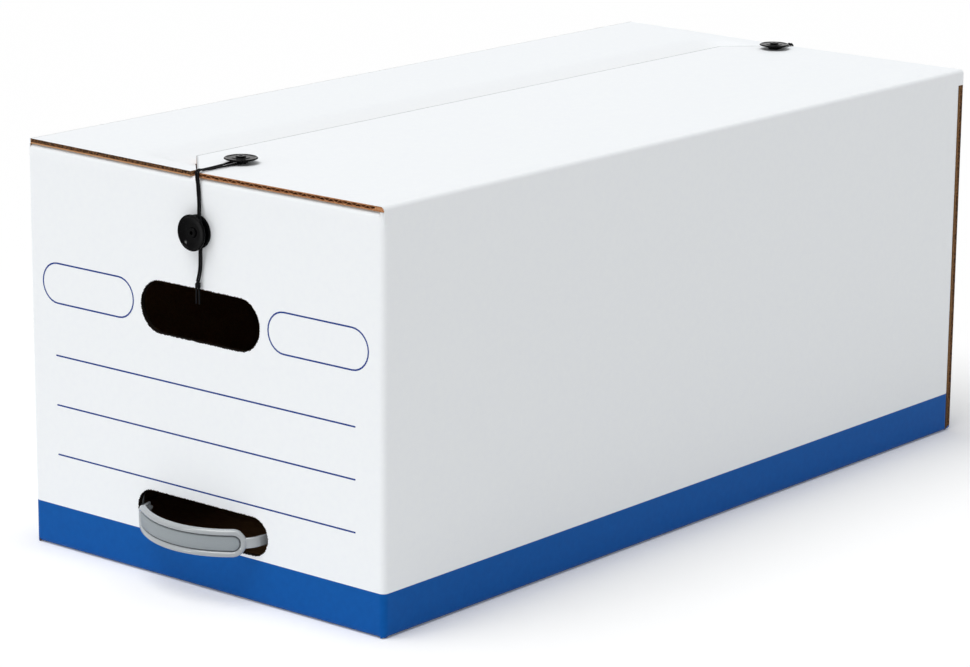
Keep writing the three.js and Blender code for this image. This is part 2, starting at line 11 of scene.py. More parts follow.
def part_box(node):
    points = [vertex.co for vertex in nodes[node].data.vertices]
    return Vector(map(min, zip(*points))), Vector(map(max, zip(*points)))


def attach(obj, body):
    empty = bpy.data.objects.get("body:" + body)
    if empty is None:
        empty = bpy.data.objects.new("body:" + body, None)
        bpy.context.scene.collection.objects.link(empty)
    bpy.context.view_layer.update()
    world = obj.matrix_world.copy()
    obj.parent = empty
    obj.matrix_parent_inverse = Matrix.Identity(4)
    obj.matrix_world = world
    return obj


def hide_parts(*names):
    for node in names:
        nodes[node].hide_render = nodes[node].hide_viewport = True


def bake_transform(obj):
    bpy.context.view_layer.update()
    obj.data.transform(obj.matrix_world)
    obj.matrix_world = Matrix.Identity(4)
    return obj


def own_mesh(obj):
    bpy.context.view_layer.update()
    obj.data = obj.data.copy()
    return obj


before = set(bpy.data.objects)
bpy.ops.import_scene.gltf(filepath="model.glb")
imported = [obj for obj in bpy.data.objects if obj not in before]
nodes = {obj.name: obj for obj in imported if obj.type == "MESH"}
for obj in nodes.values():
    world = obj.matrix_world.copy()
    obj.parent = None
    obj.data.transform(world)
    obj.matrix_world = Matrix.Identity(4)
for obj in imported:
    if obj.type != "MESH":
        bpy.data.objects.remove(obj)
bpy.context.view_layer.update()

# The blank: one sheet of corrugated board, white outside and brown inside, printed with a blue
# band round its foot. It is folded into the walls, the bottom, the dust flaps and the inner
# flap of the lid, and glued at the back right corner.
_, body_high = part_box("box_body")
side = body_high.x
end = body_high.y
board = 0.0032
band_top = 0.029
flute_pitch = 0.0074
seam_x = side - 0.1935
corner_cut = 0.0375
lid_top = 0.273
left_rise = 0.0019
inner_tip_x = -0.0065


def paint(red, green, blue):
    """A colour written as it looks, from 0 to 255, as Blender's linear numbers."""
    def linear(value):
        share = value / 255
        return share / 12.92 if share <= 0.04045 else ((share + 0.055) / 1.055) ** 2.4
    return (linear(red), linear(green), linear(blue), 1)


class Finish:
    """A procedural material, with short calls for the nodes that feed its shader."""

    def __init__(self, name, colour, roughness, specular=0.5):
        self.material = bpy.data.materials.new(name)
        self.material.use_nodes = True
        self.tree = self.material.node_tree
        self.shader = self.tree.nodes["Principled BSDF"]
        self.shader.inputs["Base Color"].default_value = colour
        self.shader.inputs["Roughness"].default_value = roughness
        self.shader.inputs["Specular IOR Level"].default_value = specular
        self.place = self.tree.nodes.new("ShaderNodeTexCoord").outputs["Object"]

    def node(self, kind, inputs=(), **settings):
        made = self.tree.nodes.new("ShaderNode" + kind)
        for name, value in settings.items():
            setattr(made, name, value)
        for key, value in dict(inputs).items():
            if isinstance(value, bpy.types.NodeSocket):
                self.tree.links.new(value, made.inputs[key])
            else:
                made.inputs[key].default_value = value
        return made

    def math(self, operation, *values):
        return self.node("Math", enumerate(values), operation=operation).outputs[0]

    def noise(self, scale, detail=3, stretch=(1, 1, 1)):
        spread = self.node("Mapping", {"Vector": self.place, "Scale": stretch}).outputs[0]
        noise = self.node("TexNoise", {"Vector": spread, "Scale": scale, "Detail": detail})
        return noise.outputs["Fac"]

    def ramp(self, value, low, high, out_low=0.0, out_high=1.0):
        made = self.node("MapRange", {0: value, 1: low, 2: high, 3: out_low, 4: out_high})
        return made.outputs[0]

    def mix(self, share, first, second):
        made = self.node("Mix", {0: share, 6: first, 7: second}, data_type="RGBA")
        return made.outputs[2]

    def colour(self, socket):
        self.tree.links.new(socket, self.shader.inputs["Base Color"])

    def roughness(self, socket):
        self.tree.links.new(socket, self.shader.inputs["Roughness"])

    def bump(self, height, distance, strength=1.0):
        bump = self.node("Bump", {"Height": height, "Distance": distance, "Strength": strength})
        self.tree.links.new(bump.outputs[0], self.shader.inputs["Normal"])


def printed_board():
    """White clay-coated liner, with the blue band printed round the foot of the box. The cut
    border of the outer flap on the lid is greyed with a painted shadow, for the shade along the seam."""
    white = paint(247, 250, 252)
    ink_edge = 0.00012
    seam_shade_width = 0.0016
    finish = Finish("printed_board", white, 0.55, 0.08)
    split = finish.node("SeparateXYZ", {0: finish.place})
    facing = finish.node("SeparateXYZ", {0: finish.node("NewGeometry").outputs["Normal"]})
    below = finish.ramp(split.outputs["Z"], band_top - ink_edge, band_top + ink_edge, 1, 0)
    not_underneath = finish.ramp(facing.outputs["Z"], -0.97, -0.93)
    band = finish.math("MULTIPLY", below, not_underneath)
    mottle = finish.noise(240, 4)
    pale = finish.mix(finish.ramp(mottle, 0.3, 0.7), white, paint(245, 248, 251))
    from_seam = finish.math("SUBTRACT", split.outputs["X"], seam_x)
    from_end = finish.math("SUBTRACT", end, finish.math("ABSOLUTE", split.outputs["Y"]))
    along_cut = finish.math("ADD", from_seam, from_end)
    from_cut = finish.math("MULTIPLY", finish.math("SUBTRACT", along_cut, corner_cut), math.sqrt(0.5))
    inset = finish.math("MINIMUM", from_seam, from_cut)
    near_edge = finish.ramp(inset, 0, seam_shade_width, 1, 0)
    on_flap = finish.ramp(inset, -0.0002, -0.0001)
    on_lid = finish.ramp(split.outputs["Z"], lid_top - 0.0006, lid_top - 0.0002)
    border = finish.math("MULTIPLY", near_edge, on_flap)
    # Painted shadow: the lid's cut border greys towards the seam of the outer flap.
    seam_shade = finish.math("MULTIPLY", finish.math("MULTIPLY", border, on_lid), 0.9)
    pale = finish.mix(seam_shade, pale, paint(150, 152, 154))
    ink = finish.mix(finish.ramp(mottle, 0.3, 0.75), paint(0, 83, 161), paint(2, 88, 168))
    finish.colour(finish.mix(band, pale, ink))
    finish.roughness(finish.ramp(band, 0, 1, 0.55, 0.42))
    ribs = finish.math("SINE", finish.math("MULTIPLY", split.outputs["Z"], 2 * math.pi / flute_pitch))
    fibre = finish.noise(1400, 2)
    relief = finish.math("MULTIPLY_ADD", ribs, 0.35, fibre)
    finish.bump(relief, 0.00002, 0.35)
    return finish.material


def kraft_board():
    """Plain brown liner of the inside, with a grain of long fibres."""
    finish = Finish("kraft_board", paint(138, 102, 68), 0.85, 0.2)
    grain = finish.noise(160, 5, (1, 6, 6))
    flecks = finish.noise(1900, 2)
    brown = finish.mix(finish.ramp(grain, 0.3, 0.7), paint(126, 92, 60), paint(152, 115, 78))
    finish.colour(finish.mix(finish.ramp(flecks, 0.6, 0.75), brown, paint(112, 80, 50)))
    finish.bump(flecks, 0.00006, 0.5)
    return finish.material


def cut_edge():
    """Cut edge of the blank: the wave of brown paper in its own shadow, and a tan liner below."""
    finish = Finish("cut_edge", paint(70, 48, 32), 0.95, 0.1)
    split = finish.node("SeparateXYZ", {0: finish.place})
    crumbs = finish.noise(700, 3)
    wave = finish.mix(finish.ramp(crumbs, 0.42, 0.62), paint(38, 26, 18), paint(126, 88, 58))
    sheet_top = finish.ramp(split.outputs["X"], -side, inner_tip_x, lid_top + left_rise, lid_top)
    depth = finish.math("SUBTRACT", sheet_top, split.outputs["Z"])
    liner = finish.math(
        "MULTIPLY", finish.ramp(depth, 0.0023, 0.0026), finish.ramp(depth, 0.0034, 0.0036, 1, 0),
    )
    finish.colour(finish.mix(liner, wave, paint(196, 146, 104)))
    finish.bump(crumbs, 0.0002, 0.6)
    return finish.material


def lit_flap_edge():
    """Cut edge of the outer flap, painted as lit: tan paper round the open wave."""
    finish = Finish("lit_flap_edge", paint(190, 136, 94), 0.95, 0.1)
    crumbs = finish.noise(1100, 3)
    finish.colour(finish.mix(finish.ramp(crumbs, 0.35, 0.65), paint(150, 100, 66), paint(206, 150, 106)))
    finish.bump(crumbs, 0.00012, 0.5)
    return finish.material


def shaded_punched_edge():
    """Edge of a punched hole, painted dark as the shade inside the hole."""
    finish = Finish("shaded_punched_edge", paint(24, 19, 16), 1.0, 0.05)
    crumbs = finish.noise(1300, 3)
    finish.colour(finish.mix(finish.ramp(crumbs, 0.45, 0.7), paint(14, 11, 10), paint(42, 33, 26)))
    finish.bump(crumbs, 0.0002, 0.6)
    return finish.material


def face_kind(centre, normal):
    """0 for the printed outside, 1 for the brown inside, 2 for a cut edge, 3 for a punched one."""
    skin = 0.0001
    inset = board + skin
    fold = 0.006
    hole_low, hole_high = 0.01, 0.26
    top_flaps = 0.24
    inner_flap_foot = 0.2697
    floor_flap_top = 0.0068
    half_height = 0.14
    off_side = side - abs(centre.x)
    off_end = end - abs(centre.y)
    in_flap = off_side > fold and off_end > inset
    steep = abs(normal.z) < 0.4
    at_hole = hole_low < centre.z < hole_high and off_side > 0.03
    through_wall = off_end < inset and abs(normal.y) < 0.4 and at_hole
    panel_edge = normal.x > 0.9 and centre.y > end - inset and off_side < skin
    wall_top = normal.z > 0.9 and off_side < inset and centre.x > 0 and centre.z > hole_high
    flap_front = abs(normal.y) > 0.9 and off_end < skin and centre.z > inner_flap_foot
    sheet_edge = steep and in_flap and centre.z > top_flaps
    floor_edge = steep and in_flap and centre.z < floor_flap_top
    if through_wall:
        return 3
    if panel_edge or wall_top or flap_front or sheet_edge or floor_edge:
        return 2
    if abs(normal.z) > 0.5:
        outward = normal.z > 0 if centre.z > half_height else normal.z < 0
    elif abs(normal.x) > abs(normal.y):
        outward = normal.x * centre.x > 0
    else:
        outward = normal.y * centre.y > 0
    return 0 if outward else 1


def soften(obj, angle):
    """Smooth shading over the folds, with edges sharper than the angle kept crisp."""
    obj.data.shade_smooth()
    obj.data.set_sharp_from_angle(angle=math.radians(angle))
    normals = obj.modifiers.new("normals", "WEIGHTED_NORMAL")
    normals.keep_sharp = True


board_finishes = [printed_board(), kraft_board(), cut_edge(), shaded_punched_edge()]
blank = nodes["box_body"]
blank.data.materials.clear()
for finish in board_finishes:
    blank.data.materials.append(finish)
for face in blank.data.polygons:
    face.material_index = face_kind(face.center, face.normal)
soften(blank, 32)

# The outer flap of the lid: the same board, white above and brown below. Its wave of fluted
# paper is open at the front and the back edge, and its two left corners are cut off.
hinge = Vector((side, 0, lid_top))
outer_flap = nodes["outer_flap"]


def flap_face_kind(centre, normal):
    """0 for the white top and the rounded fold, 1 for the brown underside, 2 for a cut edge."""
    skin = 0.0001
    at_rim = hinge.z - board + skin < centre.z < hinge.z - skin
    if abs(normal.z) > 0.98 and not at_rim:
        return 0 if normal.z > 0 else 1
    rounded_fold = centre.x > side - board and abs(normal.y) < 0.5
    return 0 if rounded_fold else 2


outer_flap.data.materials.clear()
# The flap's cut edges take the painted lit copy of the cut edge.
for finish in (*board_finishes[:2], lit_flap_edge()):
    outer_flap.data.materials.append(finish)
for face in outer_flap.data.polygons:
    face.material_index = flap_face_kind(face.center, face.normal)
soften(outer_flap, 32)

# The fold of the outer flap: the white outer liner runs unbroken from the right wall round the
# edge of the lid, where the crushed board lets the flap turn.
def add_piece(name, vertices, faces, *finishes, kinds=None, smooth=True):
    """A mesh object from vertices and faces, with one finish or with a kind of finish per face."""
    mesh = bpy.data.meshes.new(name)
    mesh.from_pydata([tuple(v) for v in vertices], [], faces)
    for finish in finishes:
        mesh.materials.append(finish)
    if kinds:
        mesh.polygons.foreach_set("material_index", kinds)
    mesh.validate()
    obj = bpy.data.objects.new(name, mesh)
    bpy.context.scene.collection.objects.link(obj)
    if smooth:
        mesh.shade_smooth()
    tidy = bmesh.new()
    tidy.from_mesh(mesh)
    bmesh.ops.remove_doubles(tidy, verts=tidy.verts, dist=1e-7)
    bmesh.ops.recalc_face_normals(tidy, faces=tidy.faces)
    tidy.to_mesh(mesh)
    tidy.free()
    return obj


def grid_faces(rows, columns, close_rows=False, close_columns=False):
    """Four-sided faces over vertices that stand in rows, closed round either way or open."""
    faces = []
    for i in range(rows if close_rows else rows - 1):
        for j in range(columns if close_columns else columns - 1):
            a, b = i * columns + j, i * columns + (j + 1) % columns
            c = ((i + 1) % rows) * columns + j
            d = ((i + 1) % rows) * columns + (j + 1) % columns
            faces.append((a, b, d, c))
    return faces


def fold_liner():
    proud = 0.00012
    paper = 0.0003
    radius = board - 0.00035
    wall_lap = 0.011
    flap_lap = 0.012
    steps = 12
    outline = []
    for depth in (proud, proud - paper):
        reach = [
            Vector((side + depth, 0, hinge.z - wall_lap)), Vector((side + depth, 0, hinge.z - board)),
        ]
        for k in range(steps + 1):
            turn = math.pi / 2 * k / steps
            reach.append(Vector((
                side - radius + (radius + depth) * math.cos(turn), 0,
                hinge.z - radius + (radius + depth) * math.sin(turn),
            )))
        reach.append(Vector((side - flap_lap, 0, hinge.z + depth)))
        outline.append(reach)
    ring = outline[0] + outline[1][::-1]
    rows = 41
    vertices = []
    for i in range(rows):
        y = -end + 2 * end * i / (rows - 1)
        vertices += [(p.x, y, p.z) for p in ring]
    count = len(ring)
    faces = grid_faces(rows, count, close_columns=True)
    faces += [tuple(range(count)), tuple(range((rows - 1) * count, rows * count))]
    liner = add_piece("lid_fold", vertices, faces, board_finishes[0])
    liner.data.set_sharp_from_angle(angle=math.radians(40))
    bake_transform(liner)


fold_liner()

# The top fold of each end wall, creased in the same white board. To the left of the lap the inner
# flap lies a little higher, and the fold rises with it, so that no gap opens below the flap.
def wall_shoulder(face, face_name):
    fold_radius = 0.0036
    corner_radius = 0.004
    proud = 0.00005
    lift = 0.00025
    skirt = 0.008
    wall_top = lid_top - board - 0.0004
    left = corner_radius - side
    steps = 8
    columns = [-side + corner_radius * (1 - math.cos(math.pi / 2 * k / steps)) for k in range(1, steps)]
    columns += [left + (inner_tip_x - left) * k / 30 for k in range(31)]
    columns += [0, side - corner_radius]
    vertices = []
    for x in columns:
        top = wall_top + lift + left_rise * max(0, inner_tip_x - x) / (inner_tip_x + side)
        into_corner = max(0, left - x)
        setback = corner_radius - math.sqrt(corner_radius ** 2 - into_corner ** 2)
        outline = [(-proud, wall_top - skirt)]
        for k in range(steps + 1):
            turn = math.pi / 2 * k / steps
            outline.append((
                (fold_radius + proud) * (1 - math.cos(turn)) - proud,
                top + (fold_radius + proud) * (math.sin(turn) - 1),
            ))
        outline += [(fold_radius, wall_top - 0.0002), (0.0002, wall_top - skirt)]
        vertices += [(x, face * (end - setback - inset), z) for inset, z in outline]
    rows = len(columns)
    count = len(vertices) // rows
    faces = grid_faces(rows, count, close_columns=True)
    faces += [tuple(range(count)), tuple(range((rows - 1) * count, rows * count))]
    shoulder = add_piece(f"{face_name}_wall_shoulder", vertices, faces, board_finishes[0])
    shoulder.data.set_sharp_from_angle(angle=math.radians(40))
    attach(shoulder, "box")


wall_shoulder(-1, "front")
wall_shoulder(1, "back")

# The printed marks: two outlined fields beside the hand hole and three lines for a label below
# it, in a thin film of blue ink on both end walls.
ink_film = 0.00006
ink_line = 0.00105
field = {"x": 0.101, "low": 0.1673, "high": 0.1952, "width": 0.0846}
label_lines = (0.1322, 0.0984, 0.0644)
label_half = 0.1322


def blue_ink():
    finish = Finish("blue_ink", paint(20, 54, 132), 0.5, 0.12)
    mottle = finish.noise(700, 3)
    finish.colour(finish.mix(finish.ramp(mottle, 0.35, 0.7), paint(16, 48, 126), paint(32, 68, 146)))
    return finish.material


def stadium_points(x, z, width, height, steps=14):
    """Outline of a slot with round ends, about a middle on the wall."""
    radius = height / 2
    straight = width / 2 - radius
    points = []
    for hand, turn_start in ((1, -math.pi / 2), (-1, math.pi / 2)):
        for k in range(steps + 1):
            turn = turn_start + math.pi * k / steps
            points.append((x + hand * straight + radius * math.cos(turn), z + radius * math.sin(turn)))
    return points


def ink_ring(outer, inner, wall_y, face):
    """Vertices and faces of a closed ring of ink between two outlines of equal count."""
    skin = wall_y + face * ink_film
    loops = ((outer, skin), (inner, skin), (inner, wall_y), (outer, wall_y))
    vertices = [(x, y, z) for loop, y in loops for x, z in loop]
    return vertices, grid_faces(4, len(outer), close_rows=True, close_columns=True)


ink = blue_ink()
for face, face_name in ((-1, "front"), (1, "back")):
    wall_y = face * end
    middle = (field["low"] + field["high"]) / 2
    tall = field["high"] - field["low"]
    for hand, hand_name in ((-1, "left"), (1, "right")):
        outer = stadium_points(hand * field["x"], middle, field["width"], tall)
        inner = stadium_points(
            hand * field["x"], middle, field["width"] - 2 * ink_line, tall - 2 * ink_line,
        )
        vertices, faces = ink_ring(outer, inner, wall_y, face)
        mark = add_piece(f"{face_name}_field_{hand_name}", vertices, faces, ink, smooth=False)
        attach(mark, "box")
    for number, z in enumerate(label_lines, start=1):
        outline = stadium_points(0, z, 2 * label_half, ink_line, steps=6)
        skin = wall_y + face * ink_film
        vertices = [(x, y, height) for y in (skin, wall_y) for x, height in outline]
        count = len(outline)
        faces = grid_faces(2, count, close_columns=True)
        faces += [tuple(range(count)), tuple(range(count, 2 * count))]
        mark = add_piece(f"{face_name}_label_line_{number}", vertices, faces, ink, smooth=False)
        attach(mark, "box")

# The punched holes: a hand hole in each end wall and the slot for the handle. The punch tears the
# paper into a ragged rim round each hole, painted dark as the shade at the hole's edge.
# Each has a name, its wall, the height of its middle, and its width and height.
punched_holes = (
    ("front_hand_hole", -1, 0.1805, 0.104, 0.0345),
    ("back_hand_hole", 1, 0.1805, 0.104, 0.0345),
    ("handle_slot", -1, 0.044, 0.115, 0.0255),
)
tear_depth = 0.0006
tear_spacing = 0.0006
torn = random.Random(4)


def ragged_outline(outline, spacing, tear):
    """The outline cut into short steps, each corner moved outward by up to the tear."""
    made = []
    for (x, z), (next_x, next_z) in zip(outline, outline[1:] + outline[:1]):
        steps = max(1, round(math.hypot(next_x - x, next_z - z) / spacing))
        out_x, out_z = next_z - z, x - next_x
        size = math.hypot(out_x, out_z)
        for k in range(steps):
            pull = tear * torn.random() / size
            share = k / steps
            made.append((
                x + (next_x - x) * share + out_x * pull, z + (next_z - z) * share + out_z * pull,
            ))
    return made


for hole_name, face, z, width, height in punched_holes:
    wall_y = face * end
    outline = stadium_points(0, z, width, height, steps=24)
    loops = [ragged_outline(outline, tear_spacing, tear) for tear in (tear_depth, 0)]
    vertices, faces = ink_ring(*loops, wall_y, face)
    # The rim takes the dark punched-edge finish, a painted shade at the edge of the hole.
    rim = add_piece(f"{hole_name}_rim", vertices, faces, board_finishes[3], smooth=False)
    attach(rim, "box")

# The buttons: turned pieces of glossy black plastic, riveted through the board with a washer
# behind. The cap on a wall is dished and stands off for the string, the disc on the flap is flat.
button_z = 0.2353
clearance = 0.0003
bore = 0.0025
shank = 0.0022
collar = 0.003
throat = 0.0021
rivet_bore = 0.0012
head_radius = 0.0035
head_thick = 0.0007
backing_thick = 0.0008
cap_rim = 0.0118
cap_thick = 0.0011
disc_rim = 0.011
disc_thick = 0.0014
disc_dish = 0.0005
rivet_ease = 0.00015
flap_button_inset = {"front": 0.039, "back": 0.020}


def black_plastic():
    finish = Finish("black_plastic", paint(4, 4, 5), 0.1, 0.05)
    wear = finish.noise(420, 4)
    finish.colour(finish.mix(finish.ramp(wear, 0.4, 0.75), paint(2, 2, 3), paint(8, 8, 9)))
    finish.roughness(finish.ramp(wear, 0.3, 0.8, 0.07, 0.13))
    finish.bump(finish.noise(2600, 2), 0.000005, 0.2)
    return finish.material


def grey_fibre():
    finish = Finish("grey_fibre", paint(120, 118, 114), 0.9, 0.2)
    hairs = finish.noise(1500, 4)
    finish.colour(finish.mix(finish.ramp(hairs, 0.35, 0.7), paint(104, 102, 98), paint(140, 137, 131)))
    finish.bump(hairs, 0.00008, 0.6)
    return finish.material


def eased(profile, radius, steps=4):
    """A closed outline with each corner rounded, for turning."""
    made = []
    count = len(profile)
    for i, corner in enumerate(profile):
        here = Vector(corner)
        before = Vector(profile[i - 1]) - here
        after = Vector(profile[(i + 1) % count]) - here
        reach = min(radius, before.length * 0.45, after.length * 0.45)
        start = here + before.normalized() * reach
        stop = here + after.normalized() * reach
        for k in range(steps + 1):
            t = k / steps
            made.append(start * (1 - t) ** 2 + here * 2 * t * (1 - t) + stop * t ** 2)
    return made


def turned_piece(name, profile, place, finish, segments=72, ease=0.0003):
    """A half outline of radius and height turned full circle, with its corners eased."""
    outline = eased(profile, ease)
    vertices = []
    for i in range(segments):
        turn = 2 * math.pi * i / segments
        for point in outline:
            local = Vector((point.x * math.cos(turn), point.x * math.sin(turn), point.y))
            vertices.append(place @ local)
    faces = grid_faces(segments, len(outline), close_rows=True, close_columns=True)
    piece = add_piece(name, vertices, faces, finish)
    piece.data.set_sharp_from_angle(angle=math.radians(50))
    return piece


def dressed(piece, node, body):
    """Put the piece on its body, in the place of its solid."""
    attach(piece, body)
    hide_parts(node)


def rivet_profile(collar_foot, head_foot):
    """Half outline of a hollow rivet, from its flange behind the washer to its head in front."""
    backing_foot = -board - clearance - backing_thick
    flange_top = backing_foot - clearance
    return [
        (rivet_bore, flange_top - head_thick), (head_radius - 0.0003, flange_top - head_thick),
        (head_radius, flange_top), (shank, flange_top), (shank, collar_foot), (collar, collar_foot),
        (collar, collar_foot + throat), (shank, collar_foot + throat), (shank, head_foot),
        (head_radius, head_foot), (head_radius - 0.0004, head_foot + head_thick),
        (rivet_bore, head_foot + head_thick),
    ]


black = black_plastic()
fibre = grey_fibre()
for face, face_name in ((-1, "front"), (1, "back")):
    place = Matrix.Translation((0, face * end, button_z)) @ Matrix.Rotation(-face * math.pi / 2, 4, "X")
    base_top = clearance + 0.0015
    collar_foot = base_top + clearance
    foot = collar_foot + throat + clearance
    cap = turned_piece(f"{face_name}_dished_cap", [
        (bore, foot), (cap_rim * 0.62, foot), (cap_rim * 0.9, foot + 0.0006),
        (cap_rim, foot + 0.0015), (cap_rim, foot + 0.0023), (cap_rim - 0.0005, foot + 0.0028),
        (cap_rim - 0.0012, foot + 0.0027), (cap_rim - 0.002, foot + 0.0019),
        (cap_rim * 0.55, foot + cap_thick), (bore, foot + cap_thick),
    ], place, black, ease=0.0006)
    dressed(cap, f"{face_name}_wall_button_cap", "box")
    base = turned_piece(f"{face_name}_base_disc", [
        (bore, clearance), (disc_rim, clearance), (disc_rim, base_top - 0.0005),
        (disc_rim - 0.0008, base_top), (bore, base_top),
    ], place, black)
    dressed(base, f"{face_name}_wall_button_base", "box")
    rivet = turned_piece(
        f"{face_name}_wall_rivet", rivet_profile(collar_foot, foot + cap_thick + clearance), place,
        black, ease=rivet_ease,
    )
    dressed(rivet, f"{face_name}_wall_button_rivet", "box")

    inset = flap_button_inset[face_name]
    place = Matrix.Translation((0, face * (end - inset), hinge.z))
    foot = clearance + throat + clearance
    top = foot + disc_thick
    hub_top = top - 0.00005
    dish = top - disc_dish
    disc = turned_piece(f"{face_name}_ringed_disc", [
        (bore, foot), (disc_rim - 0.001, foot), (disc_rim, foot + 0.0005), (disc_rim, top - 0.0005),
        (disc_rim - 0.0007, top), (disc_rim - 0.0017, top - 0.00025), (disc_rim - 0.0024, dish),
        (disc_rim * 0.55, dish), (disc_rim * 0.5, hub_top), (bore, hub_top),
    ], place, black)
    dressed(disc, f"{face_name}_flap_button_disc", "lid_flap")
    rivet = turned_piece(
        f"{face_name}_flap_rivet", rivet_profile(clearance, hub_top + clearance), place, black,
        ease=rivet_ease,
    )
    dressed(rivet, f"{face_name}_flap_button_rivet", "lid_flap")
    for kind in ("wall", "flap"):
        washer = nodes[f"{face_name}_{kind}_button_backing"]
        washer.data.materials.clear()
        washer.data.materials.append(fibre)

# The strings: twisted black cord of three plies. Each is one loop, laid round the throat of a
# flap button, led over the edge, hooked behind the cap of the wall button and tied below it.
cord_diameter = 0.00135
strand_pitch = 0.00175
lay_length = 0.0052
plies = 3
route_step = 0.0004
lie = hinge.z + clearance + cord_diameter / 2
# On the flap: the share of the way in from the edge, and the place across in millimetres.
flap_stretch = [(1, 3.98), (0.86, 3.7), (0.66, 2.9), (0.42, 2.25), (0.2, 1.95)]
# Down the wall: the place across, the distance out of the wall and the height, in millimetres.
wall_stretch = [
    (1.9, 2.9, 274.4), (1.9, 0.5, 274.75), (1.9, -1.4, 273.6), (1.95, -1.8, 271), (2.1, -1.25, 266),
    (2.5, -1.1, 259), (3.3, -1.6, 253), (4.4, -2.8, 246.5), (5.5, -2.8, 241), (5.9, -2.8, 235.3),
    (5.6, -2.8, 229), (5.1, -2.8, 224), (4.3, -2.1, 218), (3.4, -1.5, 212), (2.6, -1.8, 207),
    (1.95, -2.3, 203.4),
]


def strand_route(face, inset, looped):
    """Points of one strand, from the throat of the flap button to the knot. The looped one goes
    round the far side of the button first and comes back beside the plain one."""
    points = []
    if looped:
        radius = collar + clearance + cord_diameter / 2
        for k in range(6):
            turn = math.pi * k / 6
            points.append((radius * math.cos(turn), inset + radius * math.sin(turn), lie))
    for share, x in flap_stretch:
        across = 2 - x * 1.5 + (share - 1) * 0.2 if looped else x
        points.append((across / 1000, inset * share, lie))
    for x, out, z in wall_stretch:
        across = x / 1000 - (strand_pitch if looped else 0)
        points.append((across, out / 1000, z / 1000))
    return [Vector((x, face * (end - out), z)) for x, out, z in points]


def smooth_route(points, spacing):
    """A centripetal curve through the points, as closely spaced points."""
    ends = [points[0] * 2 - points[1]] + points + [points[-1] * 2 - points[-2]]
    made = []
    for p0, p1, p2, p3 in zip(ends, ends[1:], ends[2:], ends[3:]):
        first, middle, last = [(b - a).length ** 0.5 for a, b in ((p0, p1), (p1, p2), (p2, p3))]
        leave = ((p1 - p0) / first - (p2 - p0) / (first + middle) + (p2 - p1) / middle) * middle
        arrive = ((p2 - p1) / middle - (p3 - p1) / (middle + last) + (p3 - p2) / last) * middle
        steps = max(2, math.ceil((p2 - p1).length / spacing))
        for k in range(steps):
            t = k / steps
            made.append(
                p1 * (2 * t ** 3 - 3 * t ** 2 + 1) + leave * (t ** 3 - 2 * t ** 2 + t)
                + p2 * (3 * t ** 2 - 2 * t ** 3) + arrive * (t ** 3 - t ** 2)
            )
    return made + [points[-1]]


def twisted_tube(path, diameter, sides=18):
    """Vertices and faces of three plies laid together along a path."""
    ahead = (path[1] - path[0]).normalized()
    across = ahead.orthogonal().normalized()
    run = 0.0
    vertices = []
    for i, point in enumerate(path):
        tangent = (path[min(i + 1, len(path) - 1)] - path[max(i - 1, 0)]).normalized()
        across = (across - tangent * across.dot(tangent)).normalized()
        up = tangent.cross(across)
        if i:
            run += (point - path[i - 1]).length
        for k in range(sides):
            turn = 2 * math.pi * k / sides
            ply = abs(math.cos(plies / 2 * (turn - 2 * math.pi * run / lay_length)))
            radius = diameter / 2 * (0.8 + 0.2 * ply ** 0.6)
            vertices.append(point + (across * math.cos(turn) + up * math.sin(turn)) * radius)
    count = len(path)
    faces = grid_faces(count, sides, close_columns=True)
    faces += [tuple(range(sides)), tuple(range((count - 1) * sides, count * sides))]
    return vertices, faces


def black_cord():
    finish = Finish("black_cord", paint(6, 6, 7), 0.7, 0.12)
    hairs = finish.noise(3200, 4, (1, 1, 2))
    finish.colour(finish.mix(finish.ramp(hairs, 0.35, 0.7), paint(3, 3, 4), paint(18, 18, 20)))
    finish.bump(hairs, 0.00012, 0.6)
    return finish.material


def knot_mesh(face):
    """A round knot with the two cut ends of the cord hanging from it."""
    foot = Vector((0.00105, face * (end + 0.0023), 0.19885))
    wrap_turns = 2.6
    wrap_radius = 0.00122
    wrap_top = 0.0035
    wrap_drop = 0.003
    core_top = 0.0052
    core_drop = 0.0045
    tail_length = 0.014
    tail_gap = 0.0006
    tail_curl = 0.0003
    wraps = []
    steps = 60
    for k in range(steps + 1):
        turn = 2 * math.pi * wrap_turns * k / steps
        wraps.append(foot + Vector((
            wrap_radius * math.cos(turn), wrap_radius * math.sin(turn), wrap_top - wrap_drop * k / steps,
        )))
    core = [foot + Vector((0, 0, core_top - core_drop * k / 12)) for k in range(13)]
    paths = [wraps, core]
    for hand in (-1, 1):
        lean = math.radians(3) * hand
        tail = []
        for k in range(25):
            drop = tail_length * k / 24
            curl = tail_curl * math.sin(drop / tail_length * math.pi)
            across = hand * tail_gap + math.sin(lean) * drop + hand * curl
            tail.append(foot + Vector((across, 0, wrap_top + tail_gap - drop)))
        paths.append(tail)
    vertices, faces = [], []
    for path in paths:
        base = len(vertices)
        part, part_faces = twisted_tube(path, cord_diameter, 12)
        vertices += part
        faces += [tuple(base + i for i in f) for f in part_faces]
    return vertices, faces


cord_finish = black_cord()
for face, face_name in ((-1, "front"), (1, "back")):
    vertices, faces = knot_mesh(face)
    knot = add_piece(f"{face_name}_knot", vertices, faces, cord_finish)
    dressed(knot, f"{face_name}_string_knot", "lid_flap")
    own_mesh(knot)
    for looped, strand_name in ((True, "looped"), (False, "plain")):
        route = smooth_route(strand_route(face, flap_button_inset[face_name], looped), route_step)
        vertices, faces = twisted_tube(route, cord_diameter)
        strand = add_piece(f"{face_name}_{strand_name}_strand", vertices, faces, cord_finish)
        dressed(strand, f"{face_name}_string_{strand_name}", "lid_flap")
        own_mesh(strand)

